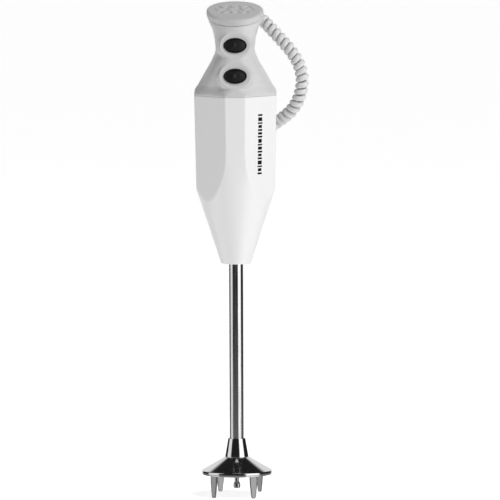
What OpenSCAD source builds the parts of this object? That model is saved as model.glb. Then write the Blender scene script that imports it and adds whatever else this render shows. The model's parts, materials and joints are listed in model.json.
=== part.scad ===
/* [Shaft and guard] */
// Height from the prong tips to the lower edge of the guard's rim
prong_h = 17.2; // [13:0.2:20]
// Radius of the guard's rim
rim_r = 28.4; // [24:0.2:35]
// Height of the upright band around the guard's rim
rim_band = 3; // [2:0.1:4]
// Thickness of the guard's sheet steel
sheet_t = 1.2; // [0.8:0.1:1.6]
// Height of the sloping dish above its rim band
dish_rise = 10.9; // [8:0.2:13]
// Width of a prong where it meets the rim
prong_w = 6.8; // [5:0.1:9]
// Radius of the hub where it stands on the dish
hub_foot_r = 9.5; // [8:0.1:12]
// Radius of the hub's upper end
hub_top_r = 6.9; // [6.6:0.1:8]
// Height of the hub's cone
hub_h = 15.1; // [12:0.5:20]
// Outer radius of the shaft tube
tube_r = 5.7; // [4.7:0.05:6.2]
// Wall of the shaft tube
tube_wall = 0.9; // [0.6:0.1:1.2]
// Length of tube in view between the hub and the body
tube_visible = 140; // [100:1:180]
// Radius of the drive shaft
shaft_r = 2; // [1.6:0.1:2.4]
// Radius of the ball end that attachments snap onto
stub_r = 2.8; // [2.4:0.1:3.4]
// Height of the ball end above the prong tips
stub_z = 5.7; // [4:0.1:8]

/* [Body] */
// Height of the body shell, from its lower end to the seam under the head
body_h = 134.4; // [110:0.5:165]
// Half the body's width at the seam
body_a = 32.8; // [28:0.2:40]
// Half the body's depth at the seam
body_b = 38.5; // [32:0.2:47]
// Radius of the body's lower end
cone_r = 12; // [11:0.2:15]
// Slope of the cone: radius gained for each millimetre of height
cone_slope = 0.331; // [0.3:0.001:0.4]
// Wall of both shells
wall = 2.4; // [1.8:0.1:3]
// Inward lean of the eight facets towards the cone, in degrees
draft = 1.15; // [0.5:0.05:2]
// Angle of the four large facets, measured from the front, in degrees
facet_turn = 51; // [46:0.5:56]
// Half the width of the narrow flats
flat_a = 8.2; // [6:0.2:10]

/* [Head] */
// Height of the head's neck above the seam
neck_h = 37; // [33:0.5:42]
// Half the neck's width
neck_a = 15.6; // [15:0.1:19]
// Depth from the axis to the rear of the neck
neck_rear = 18.2; // [17.5:0.1:22]
// Height of the cap's seat above the seam, on the axis
seat_h = 63.8; // [60:0.5:70]
// Slant of the cap towards the front, in degrees
cap_tilt = 18; // [8:0.2:20]
// Half the cap's width
cap_r = 22.7; // [21:0.1:26]
// Reach of the cap from the axis to its front
cap_front = 26; // [22:0.2:29]
// Reach of the cap from the axis to its rear
cap_rear = 18.8; // [18.4:0.1:23]
// Height of the cap's rim
cap_h = 5.4; // [4:0.1:8]
// Height of the upper button above the seam
upper_button_h = 41; // [40:0.2:44]
// Height of the lower button above the seam
lower_button_h = 17; // [15:0.2:20]
// Width of a button
button_w = 16.2; // [14:0.1:18]
// Height of a button
button_l = 9.8; // [9:0.1:14]
// Travel of a button
button_travel = 1.8; // [1:0.1:2.4]

/* [Motor] */
// Outer radius of the stator
stator_r = 23; // [19.2:0.2:24]
// Height of the lamination stack
stack_h = 26; // [22:0.5:32]
// Outer radius of the armature, as a share of the stator's
rotor_share = 0.526; // [0.48:0.002:0.55]
// Radius of the motor shaft
motor_shaft_r = 2.5; // [2:0.1:3]
// Radius of the commutator
commutator_r = 7; // [6:0.1:8]
// Number of armature slots
slot_count = 10; // [8:2:14]
// Number of fan blades
blade_count = 8; // [6:1:12]

/* [Cord] */
// Outer diameter of the curl
curl_d = 11.4; // [9:0.2:13]
// Diameter of the lead itself
lead_d = 4.7; // [4:0.1:6]

/* [Hidden] */

$fn = 64;
slip = 0.03;       // radial clearance of a running fit
eps = 0.01;
big = 400;         // larger than any cut needs

prong_set = 0.15;  // the prongs stand this far inside the rim's faces
prong_angles = [-131.5, -61.3, 48.5, 118.7];

// Heights that the rest is built from
rim_z = prong_h + rim_band;
hub_z = rim_z + dish_rise;
hub_top = hub_z + hub_h;
body_z = hub_top + tube_visible;
seam_z = body_z + body_h;
seat_z = seam_z + seat_h;

// Shaft fittings
hub_low = hub_z - 10;
hub_boss_r = 6;
thrust_z = hub_low - 5.6;
bush_r = 4;
seal_h = 3.4;
bush_h = 7.6;
bush_z = hub_low + seal_h + 0.4;
tube_z = bush_z + bush_h;
tube_top = body_z + 18.4;
tube_inner = tube_r - tube_wall;
nut_z = body_z + 12.6;
upper_bush_h = 8;

// Motor stack
rotor_r = stator_r * rotor_share;
coupling_z = tube_top + 2;
coupling_h = 11;
fan_z = coupling_z + coupling_h + 0.6;
fan_h = 8;
fan_r = stator_r * 0.74;
ledge_z = fan_z + fan_h + 2.4;
ledge_h = 3;
lower_plate_z = ledge_z + ledge_h + 0.1;
plate_t = 3;
bearing_r = 5;
bearing_h = 5;
coil_over = 6;
stack_z = lower_plate_z + 18.8;
stack_top = stack_z + stack_h;
upper_plate_z = stack_top + 22;
brush_z = stack_top + 13.5;
commutator_z = stack_top + 8;
commutator_h = 11;
yoke_inner = stator_r - 3.2;
bore_r = rotor_r + 0.4;
shoe_t = 1.7;
bolt_ring = stator_r - 1.6;
bolt_r = 1.4;
bolt_head_r = 2.6;
plate_r = stator_r + 1.3;
pole_half = 6.5;
vent_x = 13.5;
vent_r = 3.6;
motor_screw_x = plate_r - 2.1;
motor_screw_r = 1.25;
holder_half = 3.2;
brush_half = 2.1;
brush_end = commutator_r + (yoke_inner - commutator_r) * 0.547;

// Head: how far each ring is from the neck towards the body, then from the neck towards the cap
shoulder = [[0, 1], [0.08, 0.99], [0.16, 0.955], [0.25, 0.86], [0.36, 0.7], [0.49, 0.525], [0.62, 0.355],
  [0.74, 0.205], [0.84, 0.1], [0.92, 0.03], [1, 0]];
flare = [[0.17, 0.05], [0.36, 0.14], [0.55, 0.3], [0.7, 0.48], [0.85, 0.75], [1, 0.96]];
ring_n = 48;
button_gap = 0.25;
bezel_t = 0.9;
hole_grow = bezel_t + button_gap;
button_deep = 7.6;
switch_top = button_deep + 1.1 + button_travel;
switch_size = [19.6, 6.4, 10];
plunger_in = 1.6;
plate_back = 1.6;
shelf_h = 2.8;
shelf_z = seam_z + 46;
screw_x = 8.2;
screw_y = 5;
screw_r = 1.5;

// Cord: routes are drawn from the seam, for a body of half width drawn_a with the hank's middle at drawn_y
drawn_a = 32.8;
drawn_y = 46;
curl_route = [[0, 33, 58], [1, 38, 60], [6, 43, 62], [14, 43.5, 62], [21, 38, 59], [26, 33, 54.5],
  [31.5, 29.5, 48.5], [38.5, 27, 41], [44.8, 26, 33.5], [50, 25.5, 25], [52.8, 25.5, 17], [53.6, 25.5, 10],
  [52.4, 26.5, 1.5], [49.8, 28.5, -6.5], [44.5, 32, -14.5], [36.5, 37, -21.5], [27.5, 42, -27.5],
  [18, 46, -33], [12, 47, -39.5]];
tail_route = [[-9, 46, -52], [-9, 46, -45], [-8.5, 48, -37], [-7, 53, -30], [-5, 60, -27], [-3, 67, -30],
  [-1.5, 70.5, -37], [-0.5, 70.5, -45], [0, 68, -54], [0, 65, -62], [0, 64, -68]];
run_x = 9;
hank_y = body_b + 7.5;
hank_low = seam_z - 115;
hank_top = seam_z - 41;
plug_y = hank_y + 18;
plug_top = seam_z - 68;
plug_h = 36;
plug_w = 35;
plug_r = 6.85;
pin_pitch = 19;
pin_r = 2;
pin_l = 19;
pin_root_r = 2.8;
pin_root_l = 9.9;
tie_z = seam_z - 74;
relief_z = seam_z + 58;
relief_out = 33 * hank_y / drawn_y;
relief_in = 12.9;
clamp_x = 4.6;
clamp_y = 6;
clamp_h = 2.2;
clamp_z = relief_z + lead_d / 2 + 0.1;
clamp_screw_r = 1.1;

function panel_lean() = atan((body_b - cap_front * cos(cap_tilt)) / (seat_h - cap_front * sin(cap_tilt) - 1));
function panel_y(h) = body_b - tan(panel_lean()) * (h - 1);
function tilt_at(h) = cap_tilt * max(0, h - seat_h * 0.25) / (seat_h * 0.75);
function mix(a, b, t) = a + (b - a) * t;
function front_at(h) = min(body_b, panel_y(h) / (cos(tilt_at(h)) - tan(panel_lean()) * sin(tilt_at(h))));
head_rings = concat([for (s = shoulder) [s[0] * neck_h, mix(neck_a, body_a, s[1]),
    mix(neck_rear, body_b, s[1]), 1 - min(1, s[0] / 0.8)]],
  [for (f = flare) [mix(neck_h, seat_h, f[0]), mix(neck_a, cap_r, f[1]), mix(neck_rear, cap_rear, f[1]), 0]]);
function oval_r(t, a, b, n) = pow(pow(abs(cos(t)) / a, n) + pow(abs(sin(t)) / b, n), -1 / n);
function slab_r(d, c) = c > 0.001 ? d / c : big;
function oct_r(t, a, b) = min(slab_r(a, abs(cos(t))), slab_r(b, abs(sin(t))),
  slab_r(big_facet(a, b), abs(cos(t)) * sin(facet_turn) + abs(sin(t)) * cos(facet_turn)));
function big_facet(a, b) = flat_a * a / body_a * sin(facet_turn) + b * cos(facet_turn);
function ring_r(t, ring) =
  let (b = sin(t) < 0 ? front_at(ring[0]) : ring[2], n = sin(t) < 0 ? mix(3.4, 2, ring[0] / seat_h) : 2.2)
  mix(oval_r(t, ring[1], b, n), oct_r(t, ring[1], b), ring[3]);
function ring_points(ring, inset, lift) = [for (i = [0:ring_n - 1])
  let (t = 360 * i / ring_n, r = ring_r(t, ring) - inset, k = tilt_at(ring[0]))
  [r * cos(t), r * sin(t) * cos(k), seam_z + ring[0] + lift + r * sin(t) * sin(k)]];
function band(a, b, n) = [for (i = [0:n - 1]) let (j = (i + 1) % n)
  each [[a + i, a + j, b + j], [a + i, b + j, b + i]]];
function flip(f) = [for (q = f) [q[2], q[1], q[0]]];

// A wall between outer and inner rings, closed at both ends
module ring_wall(outer, inner, n) {
  m = len(outer);
  last = (m - 1) * n;
  inn = m * n;
  polyhedron(points = [for (r = concat(outer, inner)) each r],
    faces = flip(concat([for (k = [0:m - 2]) each band(k * n, (k + 1) * n, n)],
      flip([for (k = [0:m - 2]) each band(inn + k * n, inn + (k + 1) * n, n)]),
      flip(band(0, inn, n)), band(last, inn + last, n))));
}

// Sweep of a round section along a smooth curve through the points of a route
function at(p, i) = p[max(0, min(len(p) - 1, i))];
function curve(p, i, t) = let (a = at(p, i - 1), b = at(p, i), c = at(p, i + 1), d = at(p, i + 2))
  b + t * (c - a) / 2 + t * t * (2 * a - 5 * b + 4 * c - d) / 2 + t * t * t * (3 * b - a - 3 * c + d) / 2;
function smooth(p, m) = concat([for (i = [0:len(p) - 2]) each [for (k = [0:m - 1]) curve(p, i, k / m)]],
  [p[len(p) - 1]]);
function unit(v) = v / norm(v);
function placed(p) = [for (q = p) [q[0] * body_a / drawn_a, q[1] * hank_y / drawn_y, q[2] + seam_z]];
function heading(p, i) = unit(at(p, i + 1) - at(p, i - 1));
function side_of(h) = unit(cross(h, [0.31, 0.1, 0.94]));
module tube_along(route, r, n, m) {
  p = smooth(route, m);
  pts = [for (i = [0:len(p) - 1]) let (h = heading(p, i), u = side_of(h), v = cross(h, u))
    each [for (k = [0:n - 1]) p[i] + r * (cos(360 * k / n) * u + sin(360 * k / n) * v)]];
  end = (len(p) - 1) * n;
  polyhedron(points = pts, faces = flip(concat([for (i = [0:len(p) - 2]) each band(i * n, (i + 1) * n, n)],
    [for (k = [1:n - 2]) [0, k + 1, k]], [for (k = [1:n - 2]) [end, end + k, end + k + 1]])));
}

module turned(points) {
  rotate_extrude() polygon(points);
}

module ring(r_out, r_in, z, h) {
  translate([0, 0, z]) difference() {
    cylinder(r = r_out, h = h);
    translate([0, 0, -1]) cylinder(r = r_in, h = h + 2);
  }
}

module box(low, high) {
  translate(low) cube(high - low);
}

module both_x() {
  children();
  mirror([1, 0, 0]) children();
}

module opposite() {
  children();
  rotate([0, 0, 180]) children();
}

module oval(w, l) {
  polygon([for (i = [0:35]) [w / 2 * cos(10 * i), l / 2 * sin(10 * i)]]);
}

module oval_slab(w, l, low, high) {
  translate([0, 0, low]) linear_extrude(high - low) oval(w, l);
}

// Places its children on the front panel, with their z pointing out of it
module on_panel(h) {
  translate([0, -panel_y(h), seam_z + h]) rotate([90 - panel_lean(), 0, 0]) children();
}

// Guard and shaft

module prong() {
  taper = prong_w * 0.62;
  tip = prong_w * 0.3;
  intersection() {
    ring(rim_r - prong_set, rim_r - sheet_t - prong_set, -1, rim_z);
    rotate([90, 0, 90]) linear_extrude(big) polygon([[-prong_w / 2, rim_z - 1.4], [-prong_w / 2, prong_h - 2],
      [-taper / 2, prong_h * 0.3], [-taper / 2.6, prong_h * 0.1], [-tip / 2, 0], [tip / 2, 0],
      [taper / 2.6, prong_h * 0.1], [taper / 2, prong_h * 0.3], [prong_w / 2, prong_h - 2],
      [prong_w / 2, rim_z - 1.4]]);
  }
}

module guard_dish() {
  lean = sheet_t * 1.14;
  color([0.78, 0.78, 0.8]) union() {
    turned([[rim_r, prong_h], [rim_r, rim_z], [hub_foot_r, hub_z], [hub_boss_r + slip, hub_z],
      [hub_boss_r + slip, hub_z - sheet_t], [hub_foot_r, hub_z - lean], [rim_r - sheet_t, rim_z - lean],
      [rim_r - sheet_t, prong_h]]);
    for (a = prong_angles) rotate([0, 0, a]) prong();
  }
}

module guard_hub() {
  color([0.7, 0.7, 0.72]) turned([[tube_r + slip, tube_z], [tube_r + slip, hub_top - 0.5],
    [hub_top_r - 0.5, hub_top], [hub_top_r, hub_top - 0.5], [hub_foot_r, hub_z], [hub_boss_r, hub_z],
    [hub_boss_r, hub_low], [bush_r + slip, hub_low], [bush_r + slip, tube_z]]);
}

module shaft_tube() {
  color([0.75, 0.75, 0.77]) ring(tube_r, tube_inner, tube_z, tube_top - tube_z);
}

module drive_shaft() {
  neck = shaft_r * 0.95;
  ball_h = 4.4;
  color([0.6, 0.6, 0.62]) turned([[0, stub_z], [stub_r - 0.8, stub_z], [stub_r, stub_z + 0.7],
    [stub_r, stub_z + ball_h - 0.8], [neck, stub_z + ball_h + 0.6], [neck, thrust_z], [shaft_r, thrust_z],
    [shaft_r, coupling_z + coupling_h / 2 - 0.5], [0, coupling_z + coupling_h / 2 - 0.5]]);
}

module thrust_collar() {
  color([0.55, 0.55, 0.57]) turned([[shaft_r, thrust_z], [stub_r - 0.5, thrust_z],
    [stub_r + 0.3, thrust_z + 1.6], [stub_r + 0.5, hub_low - 0.4], [shaft_r, hub_low - 0.4]]);
}

module lower_bush() {
  color([0.7, 0.5, 0.25]) ring(bush_r, shaft_r + slip, bush_z, bush_h - 0.2);
}

module lip_seal() {
  color([0.12, 0.12, 0.12]) turned([[bush_r, hub_low + 0.2], [bush_r, bush_z - 0.1],
    [shaft_r + 0.9, bush_z - 0.1], [shaft_r + 0.9, hub_low + 1.6], [shaft_r + slip, hub_low + 0.9],
    [shaft_r + slip, hub_low + 0.2]]);
}

module upper_bush() {
  low = tube_top - upper_bush_h - 0.4;
  color([0.7, 0.5, 0.25]) ring(tube_inner - slip, shaft_r + slip, low, upper_bush_h);
}

module tube_nut() {
  color([0.55, 0.55, 0.5]) difference() {
    translate([0, 0, nut_z]) cylinder(r = tube_r + 3.8, h = tube_top - nut_z - 0.2, $fn = 6);
    translate([0, 0, nut_z - 1]) cylinder(r = tube_r + slip, h = 20);
  }
}

module tube_seal_ring() {
  color([0.1, 0.1, 0.1]) rotate_extrude() translate([tube_r + 1.1, body_z + 5]) circle(r = 0.95, $fn = 24);
}

// Body

module facet_cuts(inset) {
  big_d = big_facet(body_a, body_b);
  turns = [[0, body_a], [90, body_b], [180, body_a], [270, body_b]];
  bigs = [for (q = [0, 180], s = [-1, 1]) q + s * (90 - facet_turn)];
  for (t = turns) facet_cut(t[0], t[1] - inset);
  for (a = bigs) facet_cut(a, big_d - inset);
}

module facet_cut(turn, d) {
  rotate([0, 0, turn]) translate([d, -big / 2, seam_z]) rotate([0, draft, 0]) translate([0, 0, -big / 2])
    cube([big, big, big]);
}

module faceted(inset, low, high) {
  difference() {
    turned([[0, low], [cone_at(low) - inset, low], [cone_at(high) - inset, high], [0, high]]);
    facet_cuts(inset);
  }
}

function cone_at(z) = cone_r + (z - body_z) * cone_slope;

module body_shell() {
  floor_z = body_z + 12.4;
  groove = [body_z + 4, body_z + 6];
  color([0.93, 0.93, 0.93]) difference() {
    faceted(0, body_z, seam_z);
    translate([0, 0, body_z - 1]) cylinder(r = tube_r + slip, h = 20);
    ring(tube_r + 2.1, tube_r - 1, groove[0], groove[1] - groove[0]);
    faceted(wall, floor_z, ledge_z);
    translate([0, 0, ledge_z - eps]) cylinder(r = fan_r + 2.2, h = ledge_h + 2 * eps);
    faceted(wall, ledge_z + ledge_h, seam_z + 1);
    gasket_shape(0);
    opposite() screw_hole();
  }
}

module screw_hole() {
  translate([motor_screw_x, 0, ledge_z - 1]) cylinder(r = motor_screw_r, h = 10);
}

// The gasket lies in a groove in the shell's upper edge
module gasket_shape(shrink) {
  difference() {
    faceted(0.75 + shrink, seam_z - 1.2, seam_z);
    faceted(1.75 - shrink, seam_z - 2, seam_z + 1);
  }
}

module seam_gasket() {
  color([0.25, 0.25, 0.25]) gasket_shape(0.05);
}

// Motor

module coupling() {
  color([0.85, 0.82, 0.7]) turned([[shaft_r, coupling_z], [5.5, coupling_z], [5.5, coupling_z + coupling_h],
    [motor_shaft_r, coupling_z + coupling_h], [motor_shaft_r, coupling_z + coupling_h / 2],
    [shaft_r, coupling_z + coupling_h / 2]]);
}

module cooling_fan() {
  color([0.2, 0.2, 0.22]) difference() {
    union() {
      translate([0, 0, fan_z]) cylinder(r = motor_shaft_r + 3, h = fan_h);
      translate([0, 0, fan_z + fan_h - 1.2]) cylinder(r = fan_r, h = 1.2);
      for (i = [0:blade_count - 1]) rotate([0, 0, i * 360 / blade_count])
        box([motor_shaft_r + 2, -0.6, fan_z + 1], [fan_r - 0.3, 0.6, fan_z + fan_h]);
    }
    translate([0, 0, fan_z - 1]) cylinder(r = motor_shaft_r, h = fan_h + 2);
  }
}

module motor_shaft() {
  low = coupling_z + coupling_h / 2;
  color([0.65, 0.65, 0.67]) translate([0, 0, low])
    cylinder(r = motor_shaft_r, h = upper_plate_z + plate_t + bearing_h - 1 - low);
}

module slots(w, r_in, r_out) {
  for (i = [0:slot_count - 1]) rotate([0, 0, (i + 0.5) * 360 / slot_count])
    translate([r_in, -w / 2]) square([r_out - r_in, w]);
}

module armature_core() {
  color([0.45, 0.45, 0.47]) translate([0, 0, stack_z]) linear_extrude(stack_h) difference() {
    circle(r = rotor_r);
    circle(r = motor_shaft_r);
    slots(2.2, rotor_r * 0.5, rotor_r * 0.9);
    slots(1, rotor_r * 0.85, rotor_r + 1);
  }
}

module armature_winding() {
  head_h = coil_over - 1;
  color([0.75, 0.4, 0.2]) union() {
    translate([0, 0, stack_z - eps]) linear_extrude(stack_h + 2 * eps)
      slots(2, rotor_r * 0.5 + 0.1, rotor_r * 0.9 - 0.1);
    for (z = [stack_z - head_h, stack_top]) ring(rotor_r * 0.9, motor_shaft_r + 0.8, z, head_h);
  }
}

module commutator() {
  color([0.8, 0.5, 0.3]) translate([0, 0, commutator_z]) linear_extrude(commutator_h) difference() {
    circle(r = commutator_r);
    circle(r = motor_shaft_r);
    slots(0.4, commutator_r - 1, commutator_r + 1);
  }
}

module bolt_places() {
  opposite() rotate([0, 0, 45]) translate([bolt_ring, 0, 0]) children();
}

module lower_bracket() {
  color([0.75, 0.76, 0.78]) difference() {
    union() {
      translate([0, 0, lower_plate_z]) cylinder(r = plate_r, h = plate_t);
      translate([0, 0, lower_plate_z]) cylinder(r = bearing_r + 2, h = plate_t + bearing_h);
      bolt_places() translate([0, 0, lower_plate_z]) cylinder(r = bolt_head_r, h = stack_z - lower_plate_z);
    }
    translate([0, 0, lower_plate_z - 1]) cylinder(r = motor_shaft_r + 1, h = plate_t + 9);
    translate([0, 0, lower_plate_z + plate_t]) cylinder(r = bearing_r + slip, h = bearing_h + 1);
    bolt_places() translate([0, 0, lower_plate_z - 1]) cylinder(r = bolt_r + 0.1, h = stack_z);
    for (a = [0, 90, 180, 270]) rotate([0, 0, a]) translate([vent_x, 0, lower_plate_z - 1])
      cylinder(r = vent_r, h = plate_t + 2);
    opposite() translate([motor_screw_x, 0, lower_plate_z - 1]) cylinder(r = motor_screw_r + 0.1, h = 9);
  }
}

module lower_bearing() {
  color([0.7, 0.5, 0.25]) ring(bearing_r, motor_shaft_r + slip, lower_plate_z + plate_t, bearing_h);
}

module pole_section() {
  shoe_out = bore_r + shoe_t;
  difference() {
    circle(r = stator_r);
    circle(r = yoke_inner);
    bolt_places() circle(r = bolt_r + 0.1);
  }
  opposite() difference() {
    union() {
      translate([-pole_half, bore_r + 0.5]) square([2 * pole_half, yoke_inner - bore_r]);
      intersection() {
        circle(r = shoe_out);
        polygon([[0, 0], [30, 18], [30, 30], [-30, 30], [-30, 18]]);
      }
    }
    circle(r = bore_r);
  }
}

module stator_core() {
  color([0.5, 0.5, 0.53]) translate([0, 0, stack_z]) linear_extrude(stack_h) pole_section();
}

module field_coils() {
  inner = pole_half + 0.3;
  outer = inner + 5;
  near = bore_r + shoe_t + 0.3;
  color([0.72, 0.38, 0.18]) opposite() intersection() {
    difference() {
      box([-outer, near, stack_z - coil_over], [outer, yoke_inner, stack_top + coil_over]);
      box([-inner, near - 1, stack_z - 0.3], [inner, yoke_inner + 1, stack_top + 0.3]);
    }
    translate([0, 0, stack_z - coil_over - 1])
      cylinder(r = yoke_inner - 0.1, h = stack_h + 2 * coil_over + 2);
  }
}

module upper_bracket() {
  leg_low = brush_z + holder_half + 0.1;
  color([0.75, 0.76, 0.78]) difference() {
    union() {
      translate([0, 0, upper_plate_z]) cylinder(r = plate_r, h = plate_t);
      translate([0, 0, upper_plate_z]) cylinder(r = bearing_r + 2, h = plate_t + bearing_h - 1);
      bolt_places() translate([0, 0, stack_top]) cylinder(r = bolt_head_r, h = upper_plate_z - stack_top);
      both_x() box([11, -holder_half, leg_low], [16, holder_half, upper_plate_z + 1]);
    }
    translate([0, 0, upper_plate_z - 1]) cylinder(r = motor_shaft_r + 1, h = plate_t + 9);
    translate([0, 0, upper_plate_z + plate_t - 1]) cylinder(r = bearing_r + slip, h = bearing_h + 1);
    bolt_places() translate([0, 0, stack_top - 1]) cylinder(r = bolt_r + 0.1, h = 40);
    both_x() translate([screw_x, screw_y, upper_plate_z - 1]) cylinder(r = screw_r, h = plate_t + 2);
    both_x() translate([plate_r * 0.617, -plate_r * 0.494, upper_plate_z - 1])
      cylinder(r = 3, h = plate_t + 2);
  }
}

module upper_bearing() {
  color([0.7, 0.5, 0.25]) ring(bearing_r, motor_shaft_r + slip, upper_plate_z + plate_t - 1, bearing_h);
}

module motor_bolts() {
  low = lower_plate_z - 2;
  high = upper_plate_z + plate_t;
  color([0.6, 0.6, 0.6]) bolt_places() {
    translate([0, 0, low + 2]) cylinder(r = bolt_r, h = high - low - 2);
    translate([0, 0, high]) cylinder(r = bolt_head_r, h = 2);
  }
}

module motor_screws() {
  high = lower_plate_z + plate_t;
  color([0.6, 0.6, 0.6]) opposite() translate([motor_screw_x, 0, 0]) {
    translate([0, 0, ledge_z]) cylinder(r = motor_screw_r, h = high - ledge_z);
    translate([0, 0, high]) cylinder(r = 2, h = 1.6);
  }
}

module brush_holders() {
  way = brush_half + 0.1;
  color([0.8, 0.65, 0.35]) both_x() difference() {
    box([commutator_r + 1.4, -holder_half, brush_z - holder_half],
      [yoke_inner, holder_half, brush_z + holder_half]);
    box([commutator_r, -way, brush_z - way], [yoke_inner - 0.8, way, brush_z + way]);
  }
}

module carbon_brushes() {
  color([0.2, 0.2, 0.2]) both_x() difference() {
    box([0, -brush_half, brush_z - brush_half], [brush_end, brush_half, brush_z + brush_half]);
    translate([0, 0, brush_z - 5]) cylinder(r = commutator_r + slip, h = 10);
  }
}

module brush_springs() {
  turns = 4;
  low = brush_end + 0.1;
  high = yoke_inner - 0.9;
  wire = 0.3;
  helix = [for (i = [0:turns * 8]) [low + wire + (high - low - 2 * wire) * i / turns / 8,
    1.6 * cos(45 * i), brush_z + 1.6 * sin(45 * i)]];
  color([0.7, 0.7, 0.72]) both_x() tube_along(helix, wire, 6, 1);
}

module capacitor() {
  z = upper_plate_z + plate_t + 0.1;
  color([0.85, 0.75, 0.2]) box([-8.5, 12, z], [8.5, 20, z + 12.5]);
}

// Head

module head_shell() {
  top = len(head_rings) - 1;
  outer = [for (r = head_rings) ring_points(r, 0, 0)];
  inner = [for (r = head_rings) ring_points(r, wall, 0)];
  color([0.74, 0.74, 0.74]) difference() {
    union() {
      ring_wall(outer, inner, ring_n);
      both_x() box([10, 1, shelf_z - 4], [neck_a - wall + 0.8, 9, shelf_z]);
    }
    for (h = [upper_button_h, lower_button_h]) on_panel(h)
      oval_slab(button_w + 2 * hole_grow, button_l + 2 * hole_grow, -9, 9);
    relief_way(4.6);
  }
}

module relief_way(r) {
  translate([0, 8, relief_z]) rotate([-90, 0, 0]) cylinder(r = r, h = 30);
}

function egg(t) = (sin(t) < 0 ? cap_front : cap_rear) / cap_r;

// A closed shape turned like the cap's outline, which reaches further to the front than to the rear
module egg_turned(points) {
  n = 72;
  end = (len(points) - 1) * n;
  polyhedron(points = [for (q = points) each [for (i = [0:n - 1]) let (t = 360 * i / n)
      [q[0] * cos(t), q[0] * egg(t) * sin(t), q[1]]]],
    faces = concat(flip([for (k = [0:len(points) - 2]) each band(k * n, (k + 1) * n, n)]),
      [[for (i = [0:n - 1]) i], [for (i = [n - 1:-1:0]) end + i]]));
}

module top_cap() {
  rim = 1.9;
  crown = 0.5;
  spigot = cap_r - wall - 1.6;
  step = [for (a = [0:15:90]) [cap_r - rim + rim * cos(a), cap_h - rim + rim * sin(a)]];
  dome = [for (f = [0.8, 0.6, 0.4, 0.2]) [(cap_r - rim) * f, cap_h + crown * (1 - f * f)]];
  color([0.7, 0.7, 0.7]) translate([0, 0, seat_z]) rotate([cap_tilt, 0, 0])
    egg_turned(concat([[spigot - 1.6, 1.6], [spigot - 1.6, -2.6], [spigot, -2.6], [spigot, 0.1],
      [cap_r - 0.3, 0.1], [cap_r, 0.4]], step, dome));
}

module head_screws() {
  low = upper_plate_z;
  high = shelf_z + shelf_h;
  color([0.6, 0.6, 0.6]) both_x() translate([screw_x, screw_y, 0]) {
    translate([0, 0, low]) cylinder(r = screw_r - 0.02, h = high - low);
    translate([0, 0, high]) cylinder(r = 2.7, h = 1.8);
  }
}

module bezel() {
  difference() {
    oval_slab(button_w + 2 * hole_grow - 0.1, button_l + 2 * hole_grow - 0.1, -3, 0.2);
    oval_slab(button_w + 2 * button_gap, button_l + 2 * button_gap, -5, 5);
  }
}

module upper_bezel() {
  color([0.05, 0.05, 0.05]) on_panel(upper_button_h) bezel();
}

module lower_bezel() {
  color([0.05, 0.05, 0.05]) on_panel(lower_button_h) bezel();
}

module button() {
  flange = 1.6;
  oval_slab(button_w, button_l, -button_deep + 0.6, 0.9);
  oval_slab(button_w + flange, button_l + flange, -button_deep, -button_deep + 1.4);
}

module upper_button() {
  color([0.12, 0.12, 0.12]) on_panel(upper_button_h) button();
}

module lower_button() {
  color([0.12, 0.12, 0.12]) on_panel(lower_button_h) button();
}

module plunger() {
  low = -switch_top - plunger_in;
  translate([0, 0, low]) cylinder(r = 1.2, h = -button_deep - 0.05 - low);
}

module upper_plunger() {
  color([0.8, 0.2, 0.15]) on_panel(upper_button_h) plunger();
}

module lower_plunger() {
  color([0.8, 0.2, 0.15]) on_panel(lower_button_h) plunger();
}

module micro_switch() {
  s = switch_size;
  difference() {
    translate([-s[0] / 2, -s[1] / 2, -switch_top - s[2]]) cube(s);
    translate([0, 0, -switch_top - plunger_in - button_travel - 1]) cylinder(r = 1.3, h = 9);
  }
}

module upper_switch() {
  color([0.15, 0.15, 0.17]) on_panel(upper_button_h) micro_switch();
}

module lower_switch() {
  color([0.15, 0.15, 0.17]) on_panel(lower_button_h) micro_switch();
}

module switch_carrier() {
  back = -switch_top - switch_size[2];
  span = (upper_button_h - lower_button_h) / cos(panel_lean());
  color([0.85, 0.85, 0.8]) difference() {
    union() {
      on_panel(upper_button_h) box([-10, -span - 5, back - plate_back - 0.1], [10, 7, back - 0.1]);
      box([-10, -6.4, shelf_z], [10, 8.6, shelf_z + shelf_h]);
      on_panel(upper_button_h) box([-10, 3.5, back - plate_back - 6], [10, 7, back - 0.1]);
      both_x() box([9, 1, shelf_z], [12.2, 8.6, shelf_z + shelf_h]);
      box([-9, 3.4, shelf_z + 1], [9, 8.6, relief_z - lead_d / 2 - 0.1]);
    }
    both_x() translate([screw_x, screw_y, shelf_z - 1]) cylinder(r = screw_r + 0.2, h = 20);
    both_x() translate([screw_x, screw_y, shelf_z + shelf_h]) cylinder(r = 2.9, h = 20);
  }
}

module speed_diode() {
  z = -switch_top - switch_size[2] - plate_back - 3;
  color([0.1, 0.1, 0.12]) on_panel(upper_button_h) translate([-4.5, -13, z]) rotate([0, 90, 0])
    cylinder(r = 2.6, h = 9);
}

module terminal_block() {
  color([0.9, 0.9, 0.85]) box([-7, -6, shelf_z + shelf_h + 0.1], [7, 0.4, shelf_z + shelf_h + 7.4]);
}

module clamp_bar() {
  color([0.9, 0.9, 0.85]) difference() {
    box([-7.6, clamp_y - 2.4, clamp_z], [7.6, clamp_y + 2.4, clamp_z + clamp_h]);
    both_x() translate([clamp_x, clamp_y, relief_z]) cylinder(r = clamp_screw_r + 0.1, h = 20);
  }
}

module clamp_screws() {
  high = clamp_z + clamp_h;
  color([0.6, 0.6, 0.6]) both_x() translate([clamp_x, clamp_y, 0]) {
    translate([0, 0, relief_z - lead_d / 2]) cylinder(r = clamp_screw_r, h = high - relief_z + lead_d / 2);
    translate([0, 0, high]) cylinder(r = 1.9, h = 1.2);
  }
}

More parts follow.
